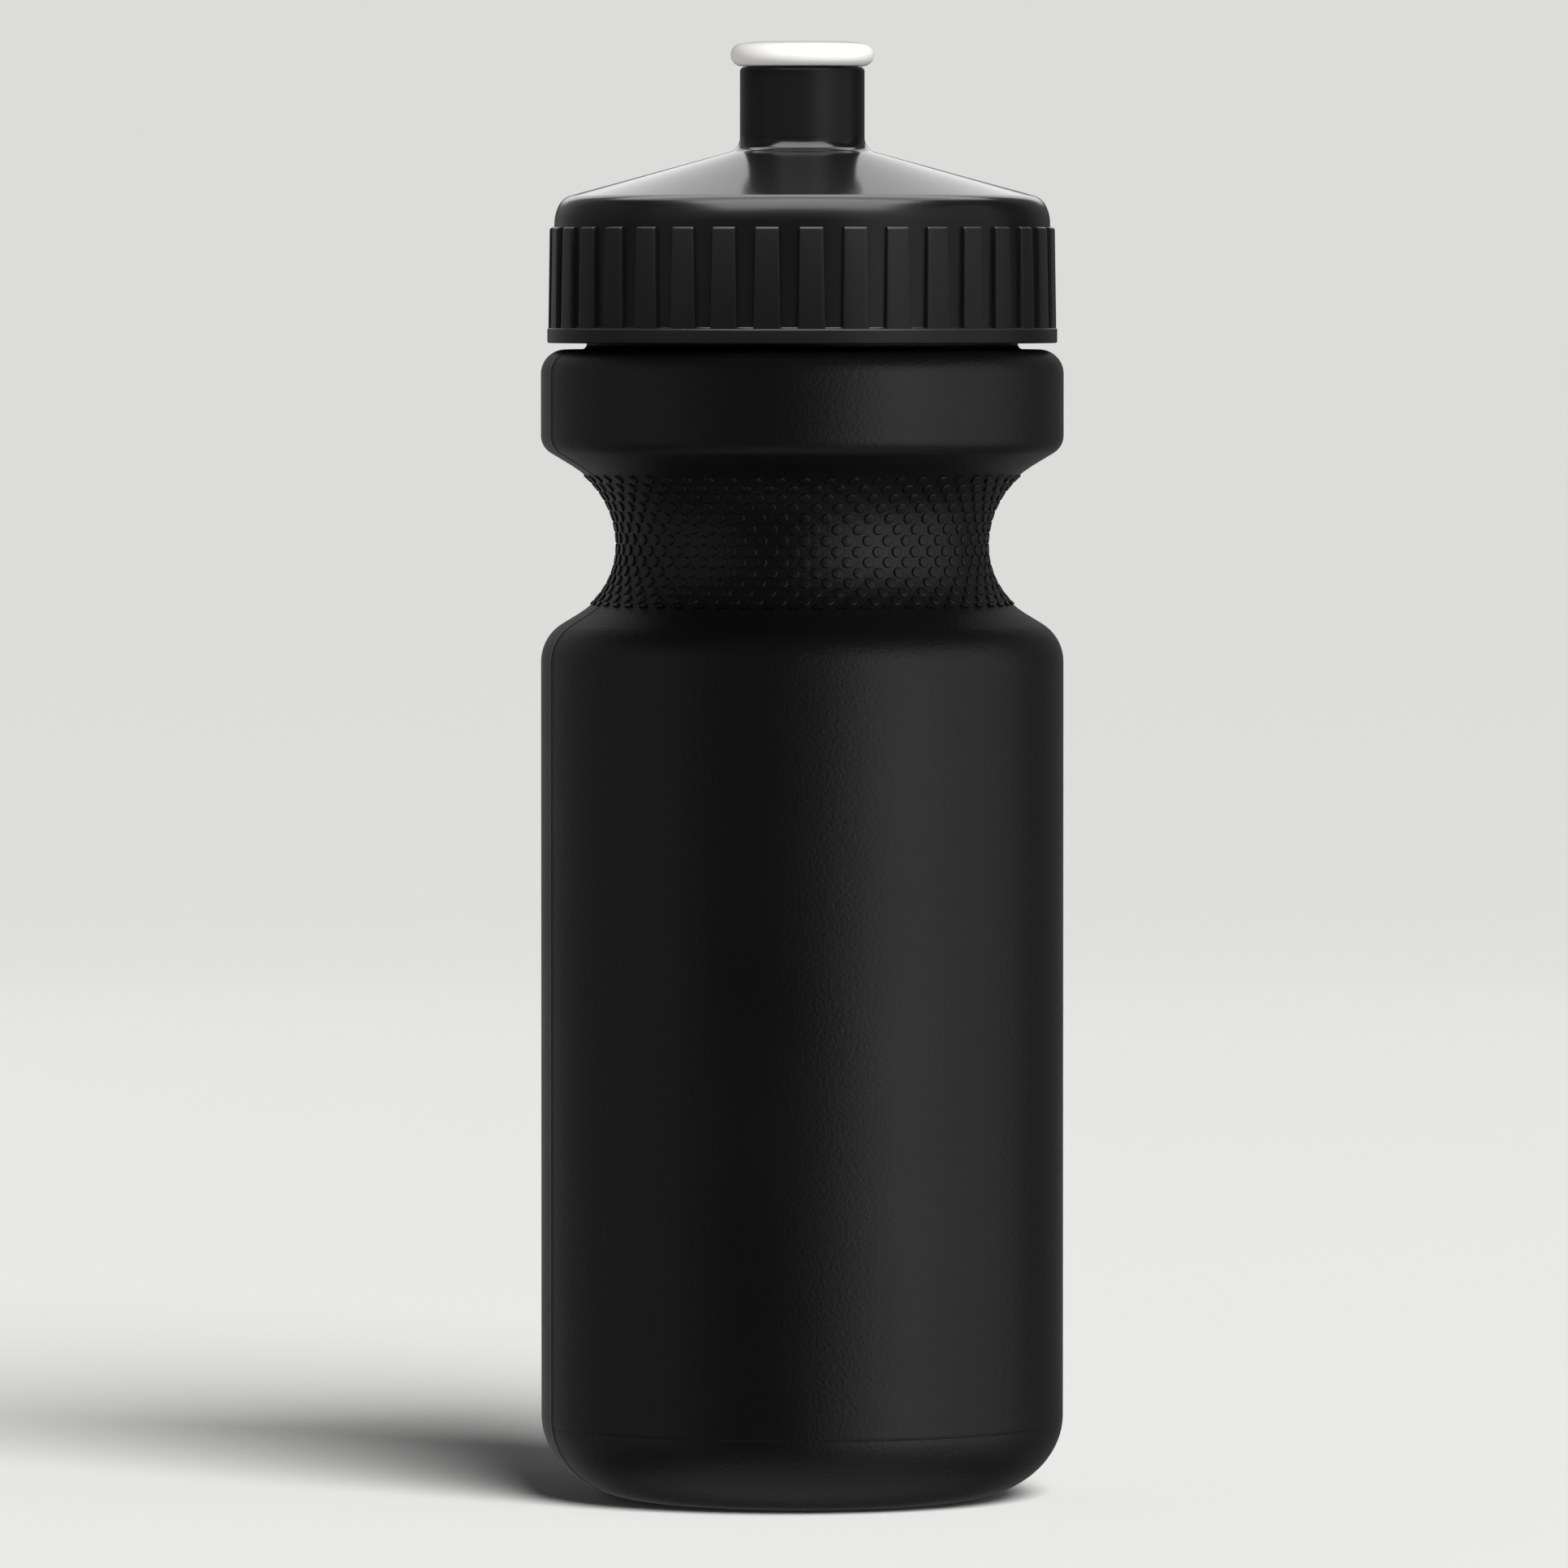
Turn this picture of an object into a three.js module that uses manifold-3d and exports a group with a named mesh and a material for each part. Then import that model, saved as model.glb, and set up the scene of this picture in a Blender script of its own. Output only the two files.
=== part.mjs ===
// A sports squeeze bottle: a blow-moulded bottle with a waisted hand grip, a ribbed screw lid with a chimney
// for the spout, a push-pull valve that slides in the chimney over a fixed pin, and a flat sealing ring that
// the lid presses on the neck's rim.
// Millimetres, +Z up. The origin is the centre of the base, where the bottle stands.
import * as THREE from "three";
import { mergeVertices } from "three/addons/utils/BufferGeometryUtils.js";
import Module from "manifold-3d";

// ---- Driving sizes ----

// Bottle wall
const BODY_RADIUS = 36.5; // fits a 73 to 74 mm bottle cage
const WALL = 1.2;
const BASE_CORNER_REACH = 13.6; // the rounded corner under the wall, across
const BASE_CORNER_HEIGHT = 11.5; // and up
const STANDING_RING_WIDTH = 5;
const BASE_RECESS = 2;
const BASE_RECESS_SLOPE = 40; // degrees
const LOWER_WALL_TOP = 116.8;

// Hand grip: a waist between the lower wall and the collar
const WAIST_RADIUS = 25.85;
const FLARE_ANGLE = 58.8; // degrees from upright, at the steepest part of each flare
const LOWER_SHOULDER_ROUND = 6.2;
const LOWER_WAIST_ROUND = 11.1;
const UPPER_WAIST_ROUND = 13;
const COLLAR_UNDER_ROUND = 2.85;
const COLLAR_STRAIGHT = 8.6;
const COLLAR_TOP_ROUND = 3.4;

// Neck, a 63 mm finish, with a two-start thread
const NECK_RADIUS = 30.1;
const NECK_WALL = 1.8;
const NECK_HEIGHT = 17.4;
const THREAD_STARTS = 2;
const THREAD_LEAD = 8.46;
const THREAD_DEPTH = 1.6;
const THREAD_FOOT_WIDTH = 2.5;
const THREAD_CREST_WIDTH = 1.1;
const THREAD_FADE = 18; // degrees over which each end of a thread runs out
const THREAD_HEAD = 4.1; // from the middle of a neck thread's upper end to the rim
const LID_THREAD_FOOT = 1.8; // from the lid's lower edge to the middle of a lid thread's lower end
const LID_THREAD_SHORTER = 40; // degrees by which a thread of the lid is shorter than one of the neck

// Sealing ring
const RING_THICKNESS = 1.8;

// Lid
const LID_GAP = 0.9; // between the collar and the lid's lower edge
const SKIRT_WALL = 2.4;
const FLANGE_HEIGHT = 2.1;
const FLANGE_PROUD = 1;
const RIB_COUNT = 36;
const RIB_WIDTH = 3.2;
const RIB_DEPTH = 0.65;
const RIB_DROP = 0.5; // from the shoulder's lower edge to the top of a rib
const RIB_TURN = 2; // degrees that the first rib stands to the right of the front
const SHOULDER_ROUND = 5.6;
const SHOULDER_SWEEP = 41; // degrees
const CONE_SLOPE = 15.3; // degrees above level
const TOP_WALL = 1.8;
const LOCATING_RING_WALL = 1.2; // the ring inside the neck that holds the sealing ring in its groove
const LOCATING_RING_DEPTH = 5.5; // below the sealing ring's seat

// Chimney, and the pin that closes the valve
const CHIMNEY_RADIUS = 8.7;
const CHIMNEY_WALL = 1.3;
const CHIMNEY_HEIGHT = 11.6; // above its foot
const CHIMNEY_EDGE = 0.5;
const FOOT_PROUD = 0.5;
const FOOT_HEIGHT = 1;
const CATCH_DEPTH = 0.6; // the catch ring at the top of the bore that keeps the valve in
const CATCH_THICKNESS = 1.2;
const PIN_RADIUS = 2.5;
const PIN_BELOW_LIP = 0.6; // from the top of the lip down to the tip of the pin
const PIN_CHAMFER = 0.5;
const SPOKE_COUNT = 4;
const SPOKE_WIDTH = 1.6;
const SPOKE_THICKNESS = 1.8;
const SPOKE_DROP = 0.85; // from the closed valve down to the spokes
const SLEEVE_DROP = 0.5; // how far the chimney's wall reaches below the cone and the spokes

// Push-pull valve
const PULL_TRAVEL = 7;
const VALVE_WALL = 1.2;
const BEAD_HEIGHT = 2;
const LIP_PROUD = 1.3; // past the chimney
const LIP_HEIGHT = 3.45;
const LIP_ROUND = 1.5; // radius of the lip's edge, across
const LIP_DISH = 0.25; // the fall from the top of the lip to its edge and to its mouth
const MOUTH_LENGTH = 2.6;

// Clearances
const THREAD_CLEARANCE = 0.5; // radial, from a crest to the wall that it faces
const LOCATING_CLEARANCE = 0.4; // radial, from the locating ring to the neck's bore
const RING_CLEARANCE = 0.3; // radial, on both sides of the sealing ring
const SLIDE_CLEARANCE = 0.3; // radial, on the valve and the pin
const FACE_GAP = 0.1; // between faces that touch on the real bottle

// Fineness
const SEGMENTS = 36; // round the axis
const SINK = 0.5; // how far an added rib, spoke or thread reaches into the wall that it stands on

// ---- Places worked out from the sizes ----

const rad = THREE.MathUtils.degToRad;

// A flare turns out of a straight wall on a convex round and into the waist on a concave one, with a straight
// slope between them. Where the wall and the waist are too close for the full slope, the rounds meet earlier.
function flare(convexRound, concaveRound) {
  const drop = BODY_RADIUS - WAIST_RADIUS;
  const rounds = convexRound + concaveRound;
  const angle = Math.min(rad(FLARE_ANGLE), Math.acos(Math.max(0, 1 - drop / rounds)));
  const slope = (drop - rounds * (1 - Math.cos(angle))) / Math.sin(angle);
  const height = rounds * Math.sin(angle) + slope * Math.cos(angle);
  return { angle: THREE.MathUtils.radToDeg(angle), height };
}
const lowerFlare = flare(LOWER_SHOULDER_ROUND, LOWER_WAIST_ROUND);
const upperFlare = flare(COLLAR_UNDER_ROUND, UPPER_WAIST_ROUND);
const waist = LOWER_WALL_TOP + lowerFlare.height;
const collarBottom = waist + upperFlare.height;
const collarTop = collarBottom + COLLAR_STRAIGHT + COLLAR_TOP_ROUND;
const rim = collarTop + NECK_HEIGHT;
const neckBore = NECK_RADIUS - NECK_WALL;

const lidBottom = collarTop + LID_GAP;
const flangeTop = lidBottom + FLANGE_HEIGHT;
const threadPitch = THREAD_LEAD / THREAD_STARTS;
const lidThreadFoot = lidBottom + LID_THREAD_FOOT;
const neckThreadFoot = lidThreadFoot + threadPitch / 2;
const neckThreadTurns = (rim - THREAD_HEAD - neckThreadFoot) / THREAD_LEAD;
const lidThreadTurns = neckThreadTurns - LID_THREAD_SHORTER / 360;

const skirtInside = NECK_RADIUS + THREAD_DEPTH + THREAD_CLEARANCE;
const skirtRadius = skirtInside + SKIRT_WALL;
const ringBottom = rim + FACE_GAP;
const seat = ringBottom + RING_THICKNESS + FACE_GAP;
const coneEdge = seat + TOP_WALL;
const coneEdgeRadius = skirtRadius - SHOULDER_ROUND * (1 - Math.cos(rad(SHOULDER_SWEEP)));
const shoulder = coneEdge - SHOULDER_ROUND * Math.sin(rad(SHOULDER_SWEEP));
const ribTop = shoulder - RIB_DROP;
const locatingOutside = neckBore - LOCATING_CLEARANCE;
const locatingInside = locatingOutside - LOCATING_RING_WALL;
const coneAt = (radius) => coneEdge + (coneEdgeRadius - radius) * Math.tan(rad(CONE_SLOPE));
const coneUndersideAt = (radius) => coneAt(radius) - TOP_WALL / Math.cos(rad(CONE_SLOPE));

const chimneyFootRadius = CHIMNEY_RADIUS + FOOT_PROUD;
const chimneyFoot = coneAt(chimneyFootRadius);
const chimneyTop = chimneyFoot + CHIMNEY_HEIGHT;
const chimneyBore = CHIMNEY_RADIUS - CHIMNEY_WALL;
const catchRadius = chimneyBore - CATCH_DEPTH;
const catchUnderside = chimneyTop - CATCH_THICKNESS;

const lipBottom = chimneyTop + FACE_GAP;
const lipTop = lipBottom + LIP_HEIGHT;
const lipRadius = CHIMNEY_RADIUS + LIP_PROUD;
const stemRadius = catchRadius - SLIDE_CLEARANCE;
const beadRadius = chimneyBore - SLIDE_CLEARANCE;
const beadTop = catchUnderside - PULL_TRAVEL - FACE_GAP;
const valveBottom = beadTop - BEAD_HEIGHT;
const valveBore = stemRadius - VALVE_WALL;
const mouthRadius = PIN_RADIUS + SLIDE_CLEARANCE;
const spokesBottom = valveBottom - SPOKE_DROP - SPOKE_THICKNESS;
const sleeveBottom = Math.min(spokesBottom, coneUndersideAt(CHIMNEY_RADIUS)) - SLEEVE_DROP;

// ---- Shapes ----

// Points [radius, height] along an arc, from one angle to another in degrees, where 0 points away from the
// axis. Two reaches make an elliptical arc.
function arc(centre, reach, from, to, steps) {
  const [across, up] = Array.isArray(reach) ? reach : [reach, reach];
  const curve = new THREE.EllipseCurve(...centre, across, up, rad(from), rad(to), to < from);
  return curve.getPoints(steps).map((point) => [point.x, point.y]);
}

// A solid turned about the Z axis. Its outline runs up the outside, from the axis or closed on itself.
function turned(outline) {
  const points = outline.map(([radius, z]) => new THREE.Vector2(radius, z));
  return new THREE.LatheGeometry(points, SEGMENTS).rotateX(Math.PI / 2);
}

function ring(outline) {
  return turned([...outline, outline[0]]);
}

const wasm = await Module();
wasm.setup();

function solid(geometry) {
  const bare = geometry.clone();
  bare.deleteAttribute("normal");
  bare.deleteAttribute("uv");
  const merged = mergeVertices(bare, 1e-4);
  const vertProperties = new Float32Array(merged.attributes.position.array);
  const triVerts = new Uint32Array(merged.index.array);
  return new wasm.Manifold(new wasm.Mesh({ numProp: 3, vertProperties, triVerts }));
}

function joined(...geometries) {
  const mesh = geometries.map(solid).reduce((whole, piece) => whole.add(piece)).getMesh();
  const geometry = new THREE.BufferGeometry();
  geometry.setAttribute("position", new THREE.BufferAttribute(mesh.vertProperties, 3));
  geometry.setIndex(new THREE.BufferAttribute(mesh.triVerts, 1));
  return geometry;
}

// A thread is a tapered section, extruded and then wound about the axis as a right-hand helix. It stands out
// of a wall (towards 1) or into a bore (towards -1), and each of its ends sinks into that wall.
function thread(wallRadius, towards, foot, turns, startAngle) {
  const crest = THREAD_CREST_WIDTH / 2;
  const root = THREAD_FOOT_WIDTH / 2 + ((THREAD_FOOT_WIDTH - THREAD_CREST_WIDTH) / 2) * (SINK / THREAD_DEPTH);
  const section = new THREE.Shape([
    new THREE.Vector2(-SINK, -root),
    new THREE.Vector2(THREAD_DEPTH, -crest),
    new THREE.Vector2(THREAD_DEPTH, crest),
    new THREE.Vector2(-SINK, root),
  ]);
  const steps = Math.ceil(turns * SEGMENTS);
  const geometry = new THREE.ExtrudeGeometry(section, { depth: 1, steps, bevelEnabled: false });
  const fade = THREAD_FADE / 360 / turns;
  const position = geometry.attributes.position;
  for (let i = 0; i < position.count; i++) {
    const along = towards > 0 ? 1 - position.getZ(i) : position.getZ(i);
    const fullness = Math.min(1, along / fade, (1 - along) / fade);
    const out = position.getX(i);
    const height = out > 0 ? out * fullness - (SINK / 2) * (1 - fullness) : out;
    const radius = wallRadius + towards * height;
    const angle = startAngle + along * turns * 2 * Math.PI;
    const z = foot + along * turns * THREAD_LEAD + position.getY(i);
    position.setXYZ(i, radius * Math.cos(angle), radius * Math.sin(angle), z);
  }
  return geometry;
}

function threads(wallRadius, towards, foot, turns) {
  const starts = [...Array(THREAD_STARTS).keys()];
  return starts.map((i) => thread(wallRadius, towards, foot, turns, (i * 2 * Math.PI) / THREAD_STARTS));
}

// ---- Pieces ----

// One face of the bottle's wall, from the middle of the base to the foot of the neck. At inset 0 it is the
// outside, and at inset WALL the inside.
function wallFace(inset) {
  const standingEdge = BODY_RADIUS - BASE_CORNER_REACH;
  const recessFoot = standingEdge - STANDING_RING_WIDTH + inset * Math.tan(rad(BASE_RECESS_SLOPE / 2));
  const recessHead = recessFoot - BASE_RECESS / Math.tan(rad(BASE_RECESS_SLOPE));
  const baseCorner = [BASE_CORNER_REACH - inset, BASE_CORNER_HEIGHT - inset];
  const lowerShoulder = [BODY_RADIUS - LOWER_SHOULDER_ROUND, LOWER_WALL_TOP];
  const lowerWaist = [WAIST_RADIUS + LOWER_WAIST_ROUND, waist];
  const upperWaist = [WAIST_RADIUS + UPPER_WAIST_ROUND, waist];
  const collarUnder = [BODY_RADIUS - COLLAR_UNDER_ROUND, collarBottom];
  const topRound = Math.max(0.1, Math.min(COLLAR_TOP_ROUND, BODY_RADIUS - NECK_RADIUS - FACE_GAP) - inset);
  const collarEdge = [BODY_RADIUS - inset - topRound, collarTop - inset - topRound];
  return [
    [0, BASE_RECESS + inset],
    [recessHead, BASE_RECESS + inset],
    [recessFoot, inset],
    ...arc([standingEdge, BASE_CORNER_HEIGHT], baseCorner, -90, 0, 5),
    ...arc(lowerShoulder, LOWER_SHOULDER_ROUND - inset, 0, lowerFlare.angle, 3),
    ...arc(lowerWaist, LOWER_WAIST_ROUND + inset, 180 + lowerFlare.angle, 180, 4),
    ...arc(upperWaist, UPPER_WAIST_ROUND + inset, 180, 180 - upperFlare.angle, 4).slice(1),
    ...arc(collarUnder, COLLAR_UNDER_ROUND - inset, -upperFlare.angle, 0, 2),
    ...arc(collarEdge, topRound, 0, 90, 3),
  ];
}

function bottleBody() {
  const neck = [
    [NECK_RADIUS, collarTop],
    [NECK_RADIUS, rim],
    [neckBore, rim],
    [neckBore, collarTop - WALL],
  ];
  const shell = turned([...wallFace(0), ...neck, ...wallFace(WALL).reverse()]);
  return joined(shell, ...threads(NECK_RADIUS, 1, neckThreadFoot, neckThreadTurns));
}

function sealingRing() {
  const inside = locatingOutside + RING_CLEARANCE;
  const outside = skirtInside - RING_CLEARANCE;
  return ring([
    [outside, ringBottom],
    [outside, ringBottom + RING_THICKNESS],
    [inside, ringBottom + RING_THICKNESS],
    [inside, ringBottom],
  ]);
}

function lidShell() {
  return ring([
    [skirtInside, lidBottom],
    [skirtRadius + FLANGE_PROUD, lidBottom],
    [skirtRadius + FLANGE_PROUD, flangeTop],
    [skirtRadius, flangeTop],
    ...arc([skirtRadius - SHOULDER_ROUND, shoulder], SHOULDER_ROUND, 0, SHOULDER_SWEEP, 3),
    [chimneyFootRadius, chimneyFoot],
    [CHIMNEY_RADIUS, chimneyFoot + FOOT_HEIGHT],
    [CHIMNEY_RADIUS, chimneyTop - CHIMNEY_EDGE],
    [CHIMNEY_RADIUS - CHIMNEY_EDGE, chimneyTop],
    [catchRadius, chimneyTop],
    [catchRadius, catchUnderside],
    [chimneyBore, catchUnderside],
    [chimneyBore, sleeveBottom],
    [CHIMNEY_RADIUS, sleeveBottom],
    [CHIMNEY_RADIUS, coneUndersideAt(CHIMNEY_RADIUS)],
    [locatingInside, coneUndersideAt(locatingInside)],
    [locatingInside, seat - LOCATING_RING_DEPTH],
    [locatingOutside, seat - LOCATING_RING_DEPTH],
    [locatingOutside, seat],
    [skirtInside, seat],
  ]);
}

function lidRibs() {
  const depth = RIB_DEPTH + SINK;
  const height = ribTop - flangeTop + SINK;
  return [...Array(RIB_COUNT).keys()].map((i) => {
    const rib = new THREE.BoxGeometry(RIB_WIDTH, depth, height);
    rib.translate(0, depth / 2 - skirtRadius - RIB_DEPTH, ribTop - height / 2);
    return rib.rotateZ(rad(RIB_TURN + (i * 360) / RIB_COUNT));
  });
}

// The pin stands in the middle of the chimney on spokes, and the drink flows between them.
function pinAndSpokes() {
  const tip = lipTop - PIN_BELOW_LIP;
  const pin = turned([
    [0, spokesBottom],
    [PIN_RADIUS, spokesBottom],
    [PIN_RADIUS, tip - PIN_CHAMFER],
    [PIN_RADIUS - PIN_CHAMFER, tip],
    [0, tip],
  ]);
  const length = chimneyBore + SINK;
  const spokes = [...Array(SPOKE_COUNT).keys()].map((i) => {
    const spoke = new THREE.BoxGeometry(length, SPOKE_WIDTH, SPOKE_THICKNESS);
    spoke.translate(length / 2, 0, spokesBottom + SPOKE_THICKNESS / 2);
    return spoke.rotateZ(((i + 0.5) * 2 * Math.PI) / SPOKE_COUNT);
  });
  return [pin, ...spokes];
}

function screwLid() {
  const lidThreads = threads(skirtInside, -1, lidThreadFoot, lidThreadTurns);
  return joined(lidShell(), ...lidRibs(), ...pinAndSpokes(), ...lidThreads);
}

function pushPullValve() {
  const edgeHeight = (LIP_HEIGHT - LIP_DISH) / 2;
  return ring([
    [valveBore, valveBottom],
    [beadRadius, valveBottom],
    [beadRadius, beadTop],
    [stemRadius, beadTop],
    [stemRadius, lipBottom],
    ...arc([lipRadius - LIP_ROUND, lipBottom + edgeHeight], [LIP_ROUND, edgeHeight], -90, 90, 6),
    [(lipRadius + mouthRadius) / 2, lipTop],
    [mouthRadius, lipTop - LIP_DISH],
    [mouthRadius, lipTop - MOUTH_LENGTH],
    [valveBore, lipTop - MOUTH_LENGTH],
  ]);
}

// ---- Materials and assembly ----

const blackBottle = new THREE.MeshStandardMaterial({ color: 0x0b0b0c, roughness: 0.5, metalness: 0 });
const blackLid = new THREE.MeshStandardMaterial({ color: 0x0c0c0d, roughness: 0.2, metalness: 0 });
const whiteValve = new THREE.MeshStandardMaterial({ color: 0xeceae6, roughness: 0.35, metalness: 0 });
const clearSilicone = new THREE.MeshStandardMaterial({ color: 0xd4d6d4, roughness: 0.45, metalness: 0 });

function piece(name, geometry, material) {
  const mesh = new THREE.Mesh(geometry, material);
  mesh.name = name;
  return mesh;
}

const bottle = new THREE.Group();
bottle.add(piece("bottle_body", bottleBody(), blackBottle));
bottle.add(piece("sealing_ring", sealingRing(), clearSilicone));
bottle.add(piece("screw_lid", screwLid(), blackLid));
bottle.add(piece("push_pull_valve", pushPullValve(), whiteValve));

export default bottle;
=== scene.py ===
# A sports squeeze bottle in black plastic, with a ribbed screw lid and a white push-pull spout.
# Everything is in metres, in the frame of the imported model: Z up, the base on Z = 0, the front
# towards -Y.
import math

import bmesh
import bpy
from mathutils import Matrix, Vector


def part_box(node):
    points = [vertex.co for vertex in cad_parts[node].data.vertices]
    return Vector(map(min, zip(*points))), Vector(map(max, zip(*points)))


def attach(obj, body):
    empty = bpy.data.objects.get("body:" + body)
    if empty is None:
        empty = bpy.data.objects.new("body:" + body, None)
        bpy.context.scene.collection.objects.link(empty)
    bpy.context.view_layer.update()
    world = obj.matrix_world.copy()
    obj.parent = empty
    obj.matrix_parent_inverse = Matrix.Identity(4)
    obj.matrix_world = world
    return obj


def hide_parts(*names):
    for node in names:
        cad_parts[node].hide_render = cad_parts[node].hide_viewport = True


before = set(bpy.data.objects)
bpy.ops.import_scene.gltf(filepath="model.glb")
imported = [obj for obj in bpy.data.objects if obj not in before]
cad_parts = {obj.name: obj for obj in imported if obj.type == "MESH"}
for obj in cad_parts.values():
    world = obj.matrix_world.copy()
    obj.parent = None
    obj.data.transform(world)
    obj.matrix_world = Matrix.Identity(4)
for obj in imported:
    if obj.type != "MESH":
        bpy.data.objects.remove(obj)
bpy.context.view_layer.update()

mm = 0.001

# ------------------------------------------------------------------------------------------------
# Camera, floor and light. The bottle stands on a wide pale floor and is seen through a long lens
# from the height of its lid. A broad soft light on the right and weaker ones on the left and
# behind give a black bottle its shape, and a soft sun lights the floor.

camera_data = bpy.data.cameras.new("camera")
camera_data.lens = 315.6
camera_data.sensor_width = 36
camera_data.clip_end = 200
camera = bpy.data.objects.new("camera", camera_data)
camera.location = (-0.00255, -1.92, 0.1702)
camera.rotation_euler = (math.radians(90 - 2.104), 0, 0)
bpy.context.scene.collection.objects.link(camera)
bpy.context.scene.camera = camera
bpy.context.scene.view_settings.view_transform = "Standard"

pale = (0.80, 0.80, 0.79, 1)
horizon = (0.716, 0.716, 0.708, 1)


def link_nodes(tree, *links):
    """Joins sockets, given as (node, output, node, input)."""
    for source, output, target, socket in links:
        tree.links.new(source.outputs[output], target.inputs[socket])


def floor_material():
    """Matt and pale from above, and clear from below, so that the bottle's base can be seen."""
    material = bpy.data.materials.new("pale_floor")
    material.use_nodes = True
    tree = material.node_tree
    shader = tree.nodes["Principled BSDF"]
    shader.inputs["Base Color"].default_value = pale
    shader.inputs["Roughness"].default_value = 0.9
    shader.inputs["Specular IOR Level"].default_value = 0.2
    side = tree.nodes.new("ShaderNodeNewGeometry")
    clear = tree.nodes.new("ShaderNodeBsdfTransparent")
    either = tree.nodes.new("ShaderNodeMixShader")
    link_nodes(tree, (side, "Backfacing", either, 0), (shader, 0, either, 1), (clear, 0, either, 2),
               (either, 0, tree.nodes["Material Output"], 0))
    return material


bm = bmesh.new()
bmesh.ops.create_grid(bm, x_segments=1, y_segments=1, size=40)
floor_mesh = bpy.data.meshes.new("floor")
bm.to_mesh(floor_mesh)
bm.free()
floor_mesh.materials.append(floor_material())
floor = bpy.data.objects.new("floor", floor_mesh)
bpy.context.scene.collection.objects.link(floor)
floor.location.z = -0.05 * mm  # just clear of the base
floor.visible_glossy = False
floor.visible_shadow = False

world = bpy.data.worlds.new("studio")
bpy.context.scene.world = world
world.use_nodes = True
world_nodes = world.node_tree.nodes
around = world_nodes["Background"]
around.inputs["Color"].default_value = (0.02, 0.02, 0.02, 1)
seen = world_nodes.new("ShaderNodeBackground")
seen.inputs["Color"].default_value = horizon
ray = world_nodes.new("ShaderNodeLightPath")
chosen = world_nodes.new("ShaderNodeMixShader")
link_nodes(world.node_tree, (ray, "Is Camera Ray", chosen, 0), (around, 0, chosen, 1),
           (seen, 0, chosen, 2), (chosen, 0, world_nodes["World Output"], 0))

aim = Vector((0, 0, 0.11))


def soft_light(name, azimuth, elevation, distance, width, height, radiance):
    """A panel that faces the bottle. Its azimuth is in degrees, 0 on the camera's side and 90 on
    the right."""
    data = bpy.data.lights.new(name, "AREA")
    data.shape = "RECTANGLE"
    data.size = width
    data.size_y = height
    data.energy = math.pi * width * height * radiance
    light = bpy.data.objects.new(name, data)
    turn = math.radians(azimuth)
    rise = math.radians(elevation)
    away = Vector((math.sin(turn) * math.cos(rise), -math.cos(turn) * math.cos(rise), math.sin(rise)))
    light.location = aim + away * distance
    light.rotation_euler = away.to_track_quat("Z", "Y").to_euler()
    light.visible_camera = False
    bpy.context.scene.collection.objects.link(light)
    return light


soft_light("key_panel", 41, 2, 1.4, 0.85, 2.0, 1.25)
soft_light("key_edge", 83, 2, 1.4, 1.2, 2.0, 0.6)
soft_light("right_rim", 150, 2, 1.4, 0.8, 2.0, 0.16)
soft_light("left_fill", -66, 2, 1.4, 1.0, 2.0, 0.25)
soft_light("left_rear", -116, 2, 1.4, 1.2, 2.0, 0.17)
soft_light("left_rim", -152, 2, 1.4, 0.6, 2.0, 0.33)
soft_light("bounce", 0, -88, 0.7, 0.9, 0.9, 0.35)

# Some panels reach only one piece: one behind for the bottle's back, one behind and two above for
# the glossy cone and shoulder of the lid, and one in front for the spout.
bottle_only = bpy.data.collections.new("bottle_only")
back_fill = soft_light("back_fill", 180, 8, 1.4, 0.9, 2.0, 0.35)
back_fill.light_linking.receiver_collection = bottle_only
lid_only = bpy.data.collections.new("lid_only")
for panel in (
    soft_light("lid_back_panel", 180, 27, 1.6, 1.1, 0.95, 1.6),
    soft_light("lid_high_panel", 180, 68, 1.4, 1.7, 1.1, 4.5),
    soft_light("lid_top_panel", 0, 66, 1.3, 1.8, 1.15, 11.0),
):
    panel.light_linking.receiver_collection = lid_only
spout_only = bpy.data.collections.new("spout_only")
spout_fill = soft_light("spout_fill", -45, -8, 1.2, 1.3, 1.3, 1.2)
spout_fill.light_linking.receiver_collection = spout_only

sun_data = bpy.data.lights.new("sun", "SUN")
sun_data.energy = 4.4
sun_data.angle = math.radians(35)
sun = bpy.data.objects.new("sun", sun_data)
sun.rotation_euler = (math.radians(48), 0, math.radians(28))
sun.visible_glossy = False
bpy.context.scene.collection.objects.link(sun)

# ------------------------------------------------------------------------------------------------
# The bottle. It is one thin shell of soft black polyethylene, blown in a mould that leaves a seam
# up each side, a weld under the base and a fine ring where the base insert ends. The waist carries
# rows of low round studs for grip, and the neck a two-start screw thread.

_, bottle_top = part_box("bottle_body")
body_radius = bottle_top.x
rim = bottle_top.z
wall = 1.2 * mm
base_corner = (13.6 * mm, 11.5 * mm)
standing_ring = 5 * mm
base_recess = 2 * mm
recess_slope = math.radians(40)
lower_wall_top = 116.8 * mm
waist_radius = 25.85 * mm
flare = math.radians(58.8)
shoulder_round, lower_waist_round = 6.2 * mm, 11.1 * mm
upper_waist_round, collar_under_round = 13 * mm, 2.85 * mm
neck_height = 17.4 * mm
neck_radius = 30.1 * mm
neck_bore = 28.3 * mm
collar_top = rim - neck_height
collar_top_round = 3.4 * mm
seam_azimuth = -73  # degrees from the front, and the other seam is opposite
base_line = -5  # the fine line at the base insert's edge, in degrees on the base corner's arc

half_turn = math.tan(flare / 2)
flare_height = (body_radius - waist_radius) / math.tan(flare)
lower_flare_foot = lower_wall_top + shoulder_round * half_turn
lower_flare_head = lower_flare_foot + flare_height
waist = lower_flare_head + lower_waist_round * half_turn
upper_flare_foot = waist + upper_waist_round * half_turn
upper_flare_head = upper_flare_foot + flare_height


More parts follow.
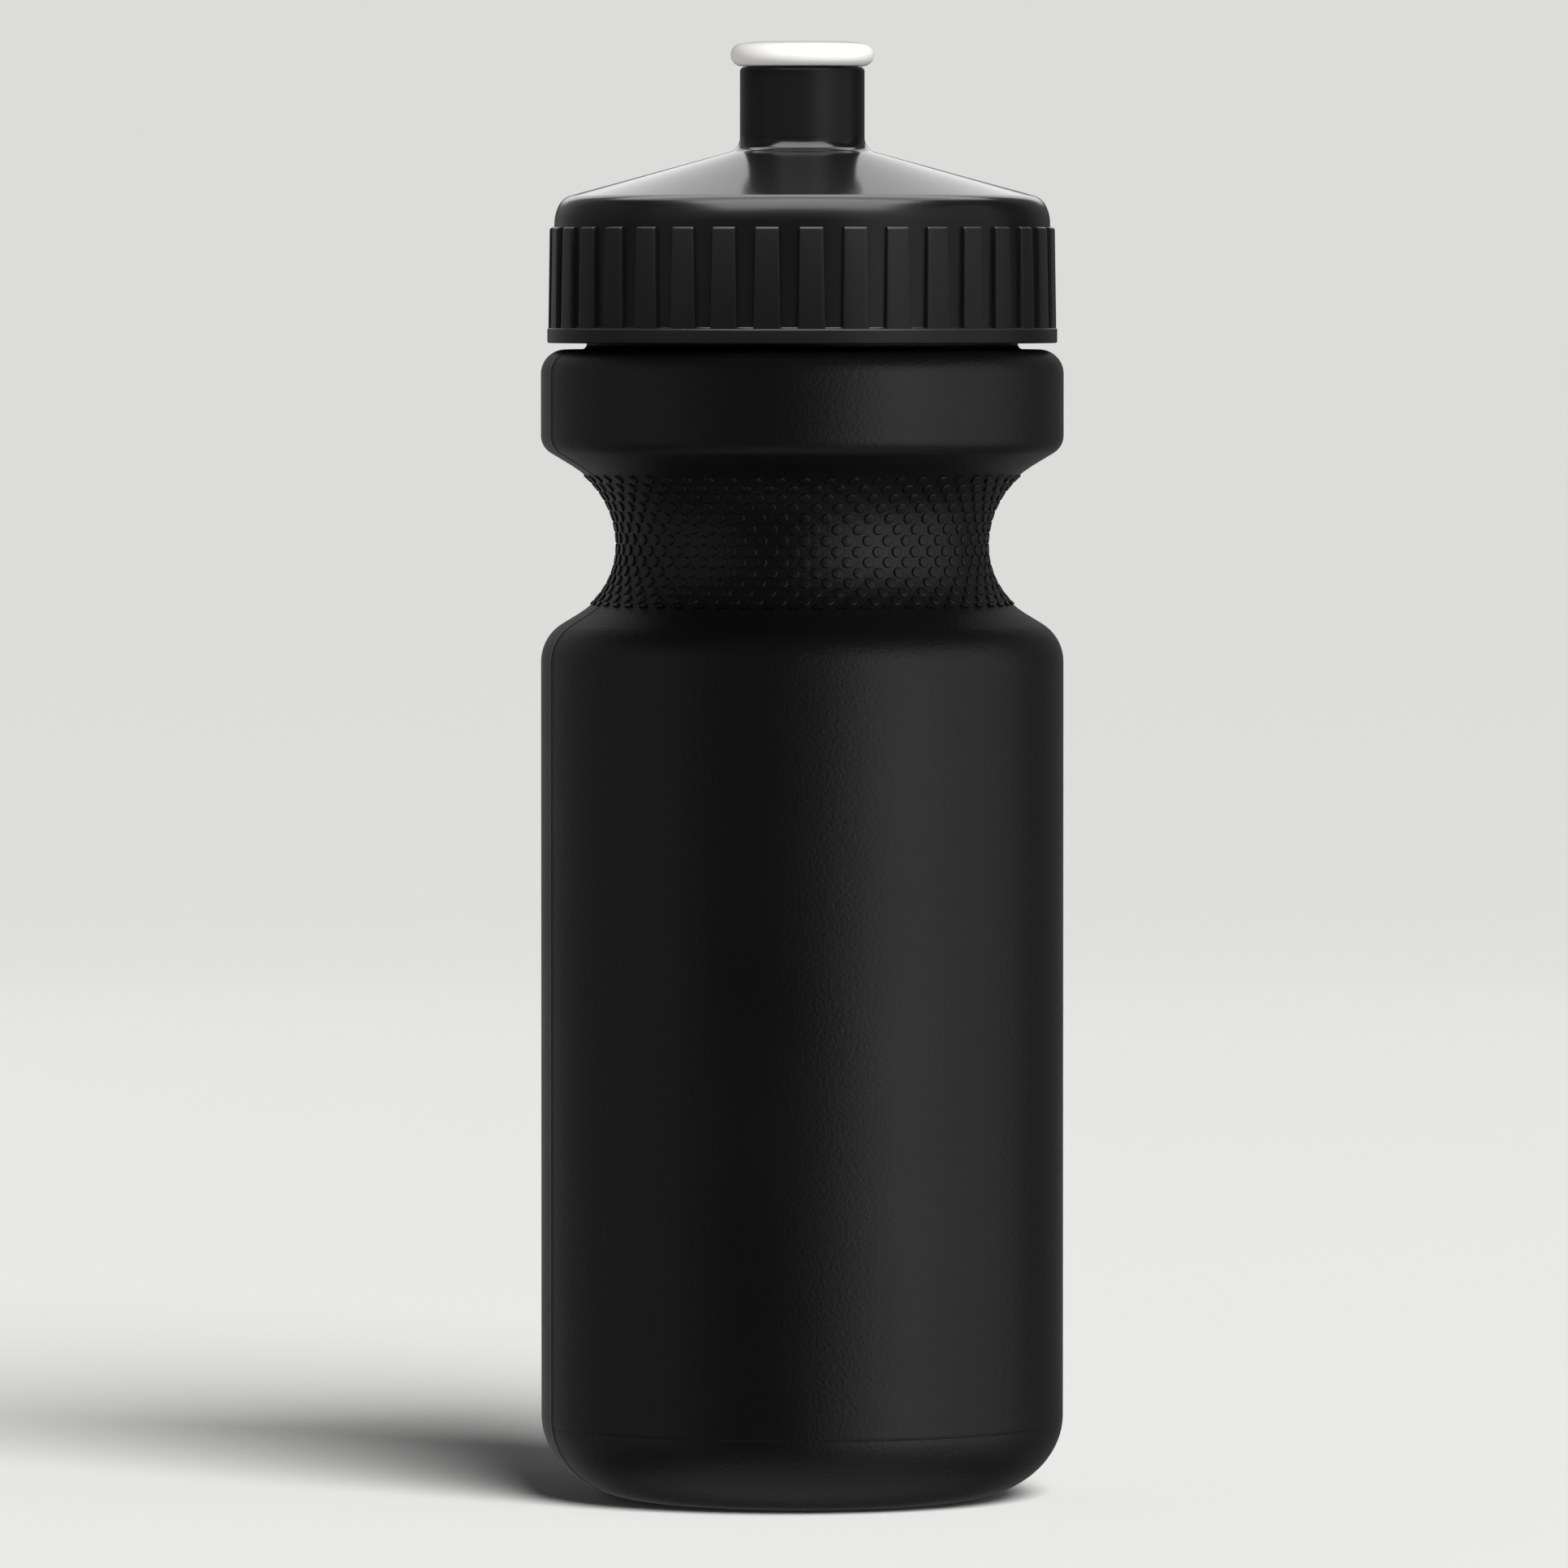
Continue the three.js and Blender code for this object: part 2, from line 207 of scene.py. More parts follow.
def on_arc(centre, reach, degrees):
    """The corner (radius, height, 0) that lies on an arc at an angle, where 0 points outwards."""
    angle = math.radians(degrees)
    return (centre[0] + reach[0] * math.cos(angle), centre[1] + reach[1] * math.sin(angle), 0)


def arc(centre, reach, start, end, steps):
    """Corners along an arc from one angle to another."""
    return [on_arc(centre, reach, start + (end - start) * i / steps) for i in range(steps + 1)]


def rounded(corners, step=7):
    """The points of an outline through corners (radius, height, round), where round is the
    corner's own radius and step is the most degrees that an arc turns from point to point."""
    points = []
    for i, (radius, height, fillet) in enumerate(corners):
        corner = Vector((radius, height))
        if not fillet:
            points.append(corner)
            continue
        back = (Vector(corners[i - 1][:2]) - corner).normalized()
        ahead = (Vector(corners[(i + 1) % len(corners)][:2]) - corner).normalized()
        inside = back.angle(ahead)
        centre = corner + (back + ahead).normalized() * fillet / math.sin(inside / 2)
        spoke = corner + back * fillet / math.tan(inside / 2) - centre
        turn = math.copysign(math.pi - inside, ahead.x * back.y - ahead.y * back.x)
        steps = max(2, math.ceil(abs(math.degrees(turn)) / step))
        points += [centre + Matrix.Rotation(turn * k / steps, 2) @ spoke for k in range(steps + 1)]
    return points


def turned(bm, points, segments, start=0, closed=False):
    """Spins an outline about the Z axis. An open outline starts and ends on the axis."""
    first = Matrix.Rotation(math.radians(start), 3, "Z")
    verts = [bm.verts.new(first @ Vector((point[0], 0, point[1]))) for point in points]
    ends = verts[1:] + verts[:1] if closed else verts[1:]
    edges = [bm.edges.new(pair) for pair in zip(verts, ends)]
    bmesh.ops.spin(bm, geom=verts + edges, cent=(0, 0, 0), axis=(0, 0, 1), angle=2 * math.pi,
                   steps=segments, use_merge=True)
    bmesh.ops.remove_doubles(bm, verts=bm.verts, dist=1e-7)


def wall_corners(inset):
    """One face of the wall, from the middle of the base up to the collar: the outside at inset 0."""
    ring_edge = body_radius - base_corner[0]
    ring_inside = ring_edge - standing_ring + inset * math.tan(recess_slope / 2)
    recess_edge = ring_inside - base_recess / math.tan(recess_slope)
    shift = inset * half_turn
    centre = (ring_edge, base_corner[1])
    reach = (base_corner[0] - inset, base_corner[1] - inset)
    line_depth = 0.06 * mm if inset == 0 else 0
    return [
        (0, base_recess + inset, 0),
        (recess_edge, base_recess + inset, 2.5 * mm),
        (ring_inside, inset, 1.2 * mm),
        *arc(centre, reach, -90, base_line - 0.6, 19),
        on_arc(centre, (reach[0] - line_depth, reach[1] - line_depth), base_line),
        *arc(centre, reach, base_line + 0.6, 0, 2),
        (body_radius - inset, lower_flare_foot - shift, shoulder_round - inset),
        (waist_radius - inset, lower_flare_head - shift, lower_waist_round + inset),
        (waist_radius - inset, upper_flare_foot + shift, upper_waist_round + inset),
        (body_radius - inset, upper_flare_head + shift, collar_under_round - inset),
        (body_radius - inset, collar_top - inset, collar_top_round - inset),
    ]


def raise_seams(bm, azimuth, width, height):
    """Cuts a narrow strip up the outer skin at an azimuth and opposite it, and raises its middle
    into a ridge."""
    across = Vector((math.cos(math.radians(azimuth)), math.sin(math.radians(azimuth)), 0))
    plane = across.cross(Vector((0, 0, 1)))

    def on_seam(vert):
        return abs(vert.co.dot(plane)) < 1e-6 and outer_skin(vert)

    edges = [e for e in bm.edges if on_seam(e.verts[0]) and on_seam(e.verts[1])]
    bmesh.ops.bevel(bm, geom=edges, affect="EDGES", offset=width / 2, offset_type="OFFSET",
                    segments=2, profile=0.5, material=-1)
    bm.normal_update()
    for vert in [v for v in bm.verts if on_seam(v) and v.co.xy.length > 1 * mm]:
        vert.co += vert.normal * height
        vert.co.z = max(vert.co.z, 0)


def outer_skin(vert):
    """Whether a vertex of the shell is on the outside, between the base and the collar's top."""
    from_waist = vert.co - Vector((0, 0, waist))
    return vert.co.z < collar_top - 0.3 * mm and vert.normal.dot(from_waist) > 0


def sweep_thread(bm, wall_radius, towards, foot, turns, start):
    """Winds a rounded thread up a neck (towards 1) or inside a skirt (towards -1). Its ends run
    out into the wall."""
    sunk, depth = 0.5 * mm, 1.6 * mm
    upper = [(depth, 0.4 * mm), (depth - 0.3 * mm, 0.7 * mm), (0.05 * mm, 1.15 * mm),
             (-sunk, 1.45 * mm)]
    section = [(out, -up) for out, up in reversed(upper)] + upper
    steps = round(turns * 120)
    fade = 18 / 360 / turns

    def place(out, up, share):
        full = min(1, share / fade, (1 - share) / fade)
        full = full * full * (3 - 2 * full)
        reach = out * full - 0.2 * mm * (1 - full) if out > 0 else out
        radius = wall_radius + towards * reach
        angle = start + share * turns * 2 * math.pi
        height = foot + up + share * turns * thread_lead
        return Vector((radius * math.cos(angle), radius * math.sin(angle), height))

    verts = [bm.verts.new(place(out, up, 0)) for out, up in section]
    face = bm.faces.new(verts)
    for i in range(1, steps + 1):
        grown = bmesh.ops.extrude_face_region(bm, geom=[face])["geom"]
        face = next(g for g in grown if isinstance(g, bmesh.types.BMFace))
        for vert, (out, up) in zip(face.verts, section):
            vert.co = place(out, up, i / steps)


thread_lead = 8.46 * mm
thread_pitch = thread_lead / 2
lid_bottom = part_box("screw_lid")[0].z
lid_thread_foot = lid_bottom + 1.8 * mm
neck_thread_foot = lid_thread_foot + thread_pitch / 2
neck_thread_head = rim - 4.1 * mm
neck_thread_turns = (neck_thread_head - neck_thread_foot) / thread_lead
lid_thread_turns = neck_thread_turns - 40 / 360  # it ends 40 degrees sooner than the neck's


def repeat_round(bm, count):
    """Repeats what a mesh holds round the Z axis."""
    bmesh.ops.spin(bm, geom=bm.verts[:] + bm.edges[:] + bm.faces[:], cent=(0, 0, 0), axis=(0, 0, 1),
                   angle=2 * math.pi, steps=count, use_duplicate=True, use_merge=True)
    bmesh.ops.remove_doubles(bm, verts=bm.verts, dist=1e-7)


def join(detail, bm):
    """Moves a detail's mesh into its piece's mesh."""
    mesh = bpy.data.meshes.new("detail")
    detail.to_mesh(mesh)
    detail.free()
    bm.from_mesh(mesh)
    bpy.data.meshes.remove(mesh)


def add_studs(bm):
    """Rows of round studs follow the waist's curve, each row set half a step round from the last.
    The lowest row is cut level through its middle."""
    section = [(0.80, -0.15), (0.78, 0.08), (0.735, 0.175), (0.65, 0.235), (0.56, 0.25)]
    studs_round = 55
    first_azimuth = 3.96
    upper_first, upper_step = 1.10, 1.575
    lower_first, lower_step = 0.45, 1.47
    above = [(upper_waist_round, (upper_first + upper_step * k) * mm) for k in range(6, -1, -1)]
    below = [(lower_waist_round, -(lower_first + lower_step * k) * mm) for k in range(7)]
    rows = above + below
    for row, (bend, along) in enumerate(rows):
        angle = along / bend
        radius = waist_radius + bend * (1 - math.cos(angle))
        height = waist + bend * math.sin(angle)
        stud = bmesh.new()
        bmesh.ops.create_circle(stud, cap_ends=True, radius=section[0][0] * mm, segments=12)
        bmesh.ops.translate(stud, verts=stud.verts[:], vec=(0, 0, section[0][1] * mm))
        top = stud.faces[:][0]
        for (reach, level), (next_reach, next_level) in zip(section, section[1:]):
            grown = bmesh.ops.extrude_face_region(stud, geom=[top])["geom"]
            top = next(g for g in grown if isinstance(g, bmesh.types.BMFace))
            bmesh.ops.scale(stud, verts=top.verts[:], vec=(next_reach / reach, next_reach / reach, 1))
            bmesh.ops.translate(stud, verts=top.verts[:], vec=(0, 0, (next_level - level) * mm))
        bmesh.ops.recalc_face_normals(stud, faces=stud.faces)
        if row == len(rows) - 1:
            everything = stud.verts[:] + stud.edges[:] + stud.faces[:]
            bmesh.ops.bisect_plane(stud, geom=everything, plane_co=(0, 0, 0), plane_no=(1, 0, 0),
                                   clear_outer=True)
            bmesh.ops.holes_fill(stud, edges=stud.edges[:])
        lean = Matrix.Rotation(math.pi / 2 + angle, 4, "Y")
        half_step = 0.5 * (row % 2 == 0)
        round_by = math.radians(first_azimuth - 90 + 360 * half_step / studs_round)
        out = Matrix.Translation((radius, 0, height))
        place = Matrix.Rotation(round_by, 4, "Z") @ out @ lean
        bmesh.ops.transform(stud, matrix=place, verts=stud.verts[:])
        repeat_round(stud, studs_round)
        join(stud, bm)


def add_weld(bm):
    """The pinch-off weld, a low ridge across the recess of the base, in line with the seams."""
    length, width, height = 30 * mm, 1.1 * mm, 1.0 * mm
    ridge = bmesh.ops.create_cube(bm, size=1)["verts"]
    bmesh.ops.scale(bm, verts=ridge, vec=(length, width, height))
    bmesh.ops.translate(bm, verts=ridge, vec=(0, 0, base_recess + 0.1 * mm))
    turn = Matrix.Rotation(math.radians(seam_azimuth - 90), 3, "Z")
    bmesh.ops.rotate(bm, verts=ridge, cent=(0, 0, 0), matrix=turn)
    edges = list({edge for vert in ridge for edge in vert.link_edges})
    bmesh.ops.bevel(bm, geom=edges, affect="EDGES", offset=0.35 * mm, offset_type="OFFSET",
                    segments=3, profile=0.5, material=-1)


def finish_piece(bm, name, material, body, node, crease=35):
    """Makes the object of a piece, shades it smooth up to its creases, and ties it to the frame."""
    mesh = bpy.data.meshes.new(name)
    bm.to_mesh(mesh)
    bm.free()
    mesh.materials.append(material)
    mesh.shade_smooth()
    mesh.set_sharp_from_angle(angle=math.radians(crease))
    piece = bpy.data.objects.new(name, mesh)
    bpy.context.scene.collection.objects.link(piece)
    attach(piece, body)
    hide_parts(node)
    return piece


def new_group(name, inputs, outputs):
    """A shader node group with named sockets, and its nodes for the ends."""
    group = bpy.data.node_groups.new(name, "ShaderNodeTree")
    for kind, socket, value in inputs:
        entry = group.interface.new_socket(socket, in_out="INPUT", socket_type=kind)
        entry.default_value = value
    for kind, socket in outputs:
        group.interface.new_socket(socket, in_out="OUTPUT", socket_type=kind)
    return group, group.nodes.new("NodeGroupInput"), group.nodes.new("NodeGroupOutput")


def noise(tree, scale, detail=2.0, roughness=0.5):
    """Noise, with its scale in features to the metre."""
    node = tree.nodes.new("ShaderNodeTexNoise")
    node.inputs["Scale"].default_value = scale
    node.inputs["Detail"].default_value = detail
    node.inputs["Roughness"].default_value = roughness
    return node


def spread(tree, low, high, from_low=0.3, from_high=0.7):
    """Maps a value from one range to another, and holds it at the ends."""
    node = tree.nodes.new("ShaderNodeMapRange")
    values = {"From Min": from_low, "From Max": from_high, "To Min": low, "To Max": high}
    for socket, value in values.items():
        node.inputs[socket].default_value = value
    return node


def operate(tree, kind, operation):
    """A Math or VectorMath node."""
    node = tree.nodes.new("ShaderNode" + kind)
    node.operation = operation
    return node


def moulded_skin_group():
    """Moulded plastic: a fine grain in the surface, broad drifts in gloss, and a slight mottle in
    the colour."""
    group, inlet, outlet = new_group(
        "moulded_skin",
        [("NodeSocketColor", "Color", (0.5, 0.5, 0.5, 1)), ("NodeSocketFloat", "Grain Scale", 1500),
         ("NodeSocketFloat", "Roughness", 0.4), ("NodeSocketFloat", "Drift", 0.05),
         ("NodeSocketFloat", "Mottle", 0.2)],
        [("NodeSocketColor", "Color"), ("NodeSocketFloat", "Roughness"),
         ("NodeSocketFloat", "Height")],
    )
    place = group.nodes.new("ShaderNodeTexCoord")
    grain = noise(group, 1500, 2.5, 0.55)
    drifts = noise(group, 38, 3, 0.6)
    link_nodes(group, (place, "Object", grain, "Vector"), (place, "Object", drifts, "Vector"),
               (inlet, "Grain Scale", grain, "Scale"), (grain, "Fac", outlet, "Height"))
    centred = spread(group, -1, 1)
    drifted = operate(group, "Math", "MULTIPLY_ADD")
    link_nodes(group, (drifts, "Fac", centred, "Value"), (centred, 0, drifted, 0),
               (inlet, "Drift", drifted, 1), (inlet, "Roughness", drifted, 2),
               (drifted, 0, outlet, "Roughness"))
    brightness = operate(group, "Math", "MULTIPLY_ADD")
    brightness.inputs[2].default_value = 1
    tinted = operate(group, "VectorMath", "SCALE")
    link_nodes(group, (centred, 0, brightness, 0), (inlet, "Mottle", brightness, 1),
               (inlet, "Color", tinted, 0), (brightness, 0, tinted, "Scale"),
               (tinted, 0, outlet, "Color"))
    return group


def scuffs_group():
    """Fine handling marks: hair-thin streaks that run several ways, more in some patches than in
    others."""
    group, inlet, outlet = new_group("handling_scuffs", [("NodeSocketFloat", "Amount", 0.5)],
                                     [("NodeSocketFloat", "Mask")])
    place = group.nodes.new("ShaderNodeTexCoord")
    patches = noise(group, 60, 2)
    patch_mask = spread(group, 0, 1, 0.48, 0.66)
    link_nodes(group, (place, "Object", patches, "Vector"), (patches, "Fac", patch_mask, "Value"))
    total = None
    for turn in ((0.4, 0.2, 0.3), (1.2, 0.5, -0.9), (-0.6, 1.1, 0.7)):
        mapping = group.nodes.new("ShaderNodeMapping")
        mapping.inputs["Rotation"].default_value = turn
        mapping.inputs["Scale"].default_value = (1, 1, 0.03)
        streaks = noise(group, 2600, 1)
        thin = spread(group, 0, 1, 0.70, 0.78)
        link_nodes(group, (place, "Object", mapping, "Vector"), (mapping, 0, streaks, "Vector"),
                   (streaks, "Fac", thin, "Value"))
        if total is None:
            total = thin
            continue
        most = operate(group, "Math", "MAXIMUM")
        link_nodes(group, (total, 0, most, 0), (thin, 0, most, 1))
        total = most
    patched = operate(group, "Math", "MULTIPLY")
    scaled = operate(group, "Math", "MULTIPLY")
    link_nodes(group, (total, 0, patched, 0), (patch_mask, 0, patched, 1), (patched, 0, scaled, 0),
               (inlet, "Amount", scaled, 1), (scaled, 0, outlet, "Mask"))
    return group


moulded_skin = moulded_skin_group()
handling_scuffs = scuffs_group()


def plastic(name, color, roughness, drift, mottle, grain_scale, grain_depth, scuffs):
    """A moulded plastic, with its own grain, gloss and wear. Returns the material and its shader."""
    material = bpy.data.materials.new(name)
    material.use_nodes = True
    tree = material.node_tree
    shader = tree.nodes["Principled BSDF"]
    skin = tree.nodes.new("ShaderNodeGroup")
    skin.node_tree = moulded_skin
    values = {"Color": color, "Grain Scale": grain_scale, "Roughness": roughness, "Drift": drift,
              "Mottle": mottle}
    for socket, value in values.items():
        skin.inputs[socket].default_value = value
    marks = tree.nodes.new("ShaderNodeGroup")
    marks.node_tree = handling_scuffs
    marks.inputs["Amount"].default_value = scuffs
    rough = operate(tree, "Math", "ADD")
    rough.use_clamp = True
    bump = tree.nodes.new("ShaderNodeBump")
    bump.inputs["Distance"].default_value = grain_depth
    link_nodes(tree, (skin, "Color", shader, "Base Color"), (skin, "Roughness", rough, 0),
               (marks, "Mask", rough, 1), (rough, 0, shader, "Roughness"),
               (skin, "Height", bump, "Height"), (bump, 0, shader, "Normal"))
    return material, shader


black_bottle, _ = plastic("black_polyethylene", (0.0015, 0.0015, 0.0016, 1), roughness=0.46,
                          drift=0.03, mottle=0.15, grain_scale=2000, grain_depth=0.07 * mm,
                          scuffs=0.1)

bm = bmesh.new()
inner = wall_corners(wall)
neck = [
    (neck_radius, collar_top, 0.8 * mm),
    (neck_radius, rim, 0.35 * mm),
    (neck_bore, rim, 0.35 * mm),
    (neck_bore, collar_top - wall, 1 * mm),
]
turned(bm, rounded(wall_corners(0) + neck + inner[::-1]), 144, start=seam_azimuth - 90)
bmesh.ops.recalc_face_normals(bm, faces=bm.faces)
bm.normal_update()
raise_seams(bm, seam_azimuth - 90, 0.26 * mm, 0.05 * mm)
add_studs(bm)
add_weld(bm)
for start in (0, math.pi):
    sweep_thread(bm, neck_radius, 1, neck_thread_foot, neck_thread_turns, start)
bmesh.ops.recalc_face_normals(bm, faces=bm.faces)
blown_bottle = finish_piece(bm, "blown_bottle", black_bottle, "bottle", "bottle_body")
bottle_only.objects.link(blown_bottle)

# ------------------------------------------------------------------------------------------------
# The sealing ring. It is a flat ring cut from milky silicone, pressed into the groove under the
# lid, and it closes on the neck's rim.

ring_low, ring_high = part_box("sealing_ring")
ring_inside = 28.2 * mm

milky_silicone, silicone_shader = plastic("milky_silicone", (0.62, 0.63, 0.61, 1), roughness=0.48,
                                          drift=0.06, mottle=0.05, grain_scale=2200,
                                          grain_depth=0.01 * mm, scuffs=0.05)
silicone_shader.inputs["Subsurface Weight"].default_value = 0.3
silicone_shader.inputs["Subsurface Radius"].default_value = (1.2 * mm, 1.2 * mm, 1.1 * mm)
silicone_shader.inputs["Subsurface Scale"].default_value = 1

bm = bmesh.new()
turned(bm, rounded([
    (ring_high.x, ring_low.z, 0.25 * mm),
    (ring_high.x, ring_high.z, 0.25 * mm),
    (ring_inside, ring_high.z, 0.25 * mm),
    (ring_inside, ring_low.z, 0.25 * mm),
], step=30), 96, closed=True)
bmesh.ops.recalc_face_normals(bm, faces=bm.faces)
finish_piece(bm, "silicone_ring", milky_silicone, "ring", "sealing_ring")

# ------------------------------------------------------------------------------------------------
# The lid. It is one moulding of black polypropylene, with a ribbed skirt, a flange, a glossy cone
# and a chimney for the spout. Inside are the thread, the groove for the sealing ring, and a pin on
# four spokes that plugs the spout when it is pushed down.

lid_low, lid_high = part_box("screw_lid")
valve_low, valve_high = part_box("push_pull_valve")
flange_radius = lid_high.x
flange_top = lid_low.z + 2.1 * mm
skirt_radius = flange_radius - 1 * mm
skirt_inside = skirt_radius - 2.4 * mm
seat = ring_high.z + 0.1 * mm
shoulder_arc = 5.6 * mm
shoulder_sweep = math.radians(41)
shoulder_width = 1.373 * mm
cone_edge = seat + 1.8 * mm
cone_edge_radius = skirt_radius - shoulder_width
cone_slope = math.tan(math.radians(15.3))
cone_wall = 1.87 * mm  # measured straight down
shoulder_foot = cone_edge - shoulder_arc * math.sin(shoulder_sweep)
chimney_radius = 8.7 * mm
chimney_bore = chimney_radius - 1.3 * mm
catch_radius = chimney_bore - 0.6 * mm
chimney_top = valve_high.z - 3.55 * mm
catch_underside = chimney_top - 1.2 * mm
locating_outside = neck_bore - 0.4 * mm
locating_inside = locating_outside - 1.2 * mm
locating_bottom = seat - 5.5 * mm
pin_radius = 2.5 * mm
spoke_count = 4
spokes_top = valve_low.z - 0.85 * mm
spokes_bottom = spokes_top - 1.8 * mm
rib_count = 36


def cone_at(radius):
    """The height of the cone's face at a radius."""
    return cone_edge + (cone_edge_radius - radius) * cone_slope


chimney_foot = cone_at(chimney_radius)
sleeve_top = chimney_foot - cone_wall
sleeve_bottom = sleeve_top - 0.5 * mm


def lid_shell(bm):
    """The skirt, flange, shoulder, cone, chimney and locating ring, as one turned outline."""
    shoulder_centre = (skirt_radius - shoulder_arc, shoulder_foot)
    shoulder_edge = cone_edge_radius + 0.25 * mm
    turned(bm, rounded([
        (skirt_inside, lid_low.z, 0.3 * mm),
        (flange_radius, lid_low.z, 0.25 * mm),
        (flange_radius, flange_top, 0.3 * mm),
        (skirt_radius + 0.1 * mm, flange_top, 0.3 * mm),
        *arc(shoulder_centre, (shoulder_arc, shoulder_arc), 0, 26, 7),
        (shoulder_edge, cone_at(shoulder_edge), 2.6 * mm),
        (chimney_radius, chimney_foot, 2.1 * mm),
        (chimney_radius, chimney_top, 0.6 * mm),
        (catch_radius, chimney_top, 0.3 * mm),
        (catch_radius, catch_underside, 0.2 * mm),
        (chimney_bore, catch_underside - 0.5 * mm, 0.2 * mm),
        (chimney_bore, sleeve_bottom, 0.3 * mm),
        (chimney_radius, sleeve_bottom, 0.3 * mm),
        (chimney_radius, sleeve_top, 0.5 * mm),
        (locating_inside, cone_at(locating_inside) - cone_wall, 0.8 * mm),
        (locating_inside, locating_bottom, 0.3 * mm),
        (locating_outside, locating_bottom, 0.5 * mm),
        (locating_outside, seat, 0.15 * mm),
        (skirt_inside, seat, 0.4 * mm),
    ]), 144, closed=True)


def lid_ribs(bm):
    """One rib grows from the flange to the shoulder, a little narrower and shallower at its top,
    with a rounded top end, and is then repeated round the skirt."""
    foot, head = flange_top - 0.3 * mm, shoulder_foot - 0.5 * mm
    proud_foot, proud_head = 0.85 * mm, 0.65 * mm
    half_foot, half_head = 1.85 * mm, 1.62 * mm
    sunk = 0.4 * mm
    rib = bmesh.new()
    bmesh.ops.create_grid(rib, x_segments=6, y_segments=1, size=1)
    bmesh.ops.scale(rib, verts=rib.verts[:], vec=(half_foot, (sunk + proud_foot) / 2, 1))
    bmesh.ops.translate(rib, verts=rib.verts[:], vec=(0, (sunk - proud_foot) / 2, foot))
    grown = bmesh.ops.extrude_face_region(rib, geom=rib.faces[:])["geom"]
    top = [g for g in grown if isinstance(g, bmesh.types.BMVert)]
    bmesh.ops.scale(rib, verts=top, vec=(half_head / half_foot, 1, 1))
    bmesh.ops.translate(rib, verts=top, vec=(0, 0, head - foot))
    for vert in top:
        if vert.co.y < 0:
            vert.co.y += proud_foot - proud_head
    bmesh.ops.recalc_face_normals(rib, faces=rib.faces)
    top_edges = [e for e in rib.edges if all(v.co.z > head - 1e-6 and v.co.y < 0 for v in e.verts)]
    bmesh.ops.bevel(rib, geom=top_edges, affect="EDGES", offset=0.42 * mm, offset_type="OFFSET",
                    segments=4, profile=0.5, material=-1)
    side_edges = [e for e in rib.edges if e.is_manifold and e.calc_face_angle(0) > 1.0
                  and all(v.co.y < -0.2 * mm for v in e.verts)]
    bmesh.ops.bevel(rib, geom=side_edges, affect="EDGES", offset=0.14 * mm, offset_type="OFFSET",
                    segments=3, profile=0.5, material=-1)
    first_azimuth = math.radians(2)
    for vert in rib.verts:
        angle = vert.co.x / skirt_radius
        radius = skirt_radius - vert.co.y
        vert.co.xy = (radius * math.sin(angle), -radius * math.cos(angle))
    bmesh.ops.rotate(rib, verts=rib.verts[:], cent=(0, 0, 0),
                     matrix=Matrix.Rotation(first_azimuth, 3, "Z"))
    repeat_round(rib, rib_count)
    join(rib, bm)


def pin_and_spokes(bm):
    """The pin that closes the spout's mouth, with a dimple in its tip, and the spokes that hold it
    in the chimney's bore."""
    pin = bmesh.new()
    turned(pin, rounded([
        (0, spokes_bottom, 0),
        (pin_radius, spokes_bottom, 0.6 * mm),
        (pin_radius, lid_high.z, 0.5 * mm),
        (0.7 * mm, lid_high.z, 0.1 * mm),
        (0.5 * mm, lid_high.z - 0.2 * mm, 0.1 * mm),
        (0, lid_high.z - 0.2 * mm, 0),
    ]), 48)
    reach = chimney_bore + 0.5 * mm
    for i in range(spoke_count):
        spoke = bmesh.ops.create_cube(pin, size=1)["verts"]
        bmesh.ops.scale(pin, verts=spoke, vec=(reach, 1.6 * mm, spokes_top - spokes_bottom))
        bmesh.ops.translate(pin, verts=spoke, vec=(reach / 2, 0, (spokes_top + spokes_bottom) / 2))
        edges = list({e for v in spoke for e in v.link_edges})
        bevelled = bmesh.ops.bevel(pin, geom=edges, affect="EDGES", offset=0.3 * mm,
                                   offset_type="OFFSET", segments=2, profile=0.5, material=-1)
        faces = {face for vert in bevelled["verts"] for face in vert.link_faces}
        whole = list({vert for face in faces for vert in face.verts})
        turn = Matrix.Rotation((i + 0.5) * 2 * math.pi / spoke_count, 3, "Z")
        bmesh.ops.rotate(pin, verts=whole, cent=(0, 0, 0), matrix=turn)
    join(pin, bm)


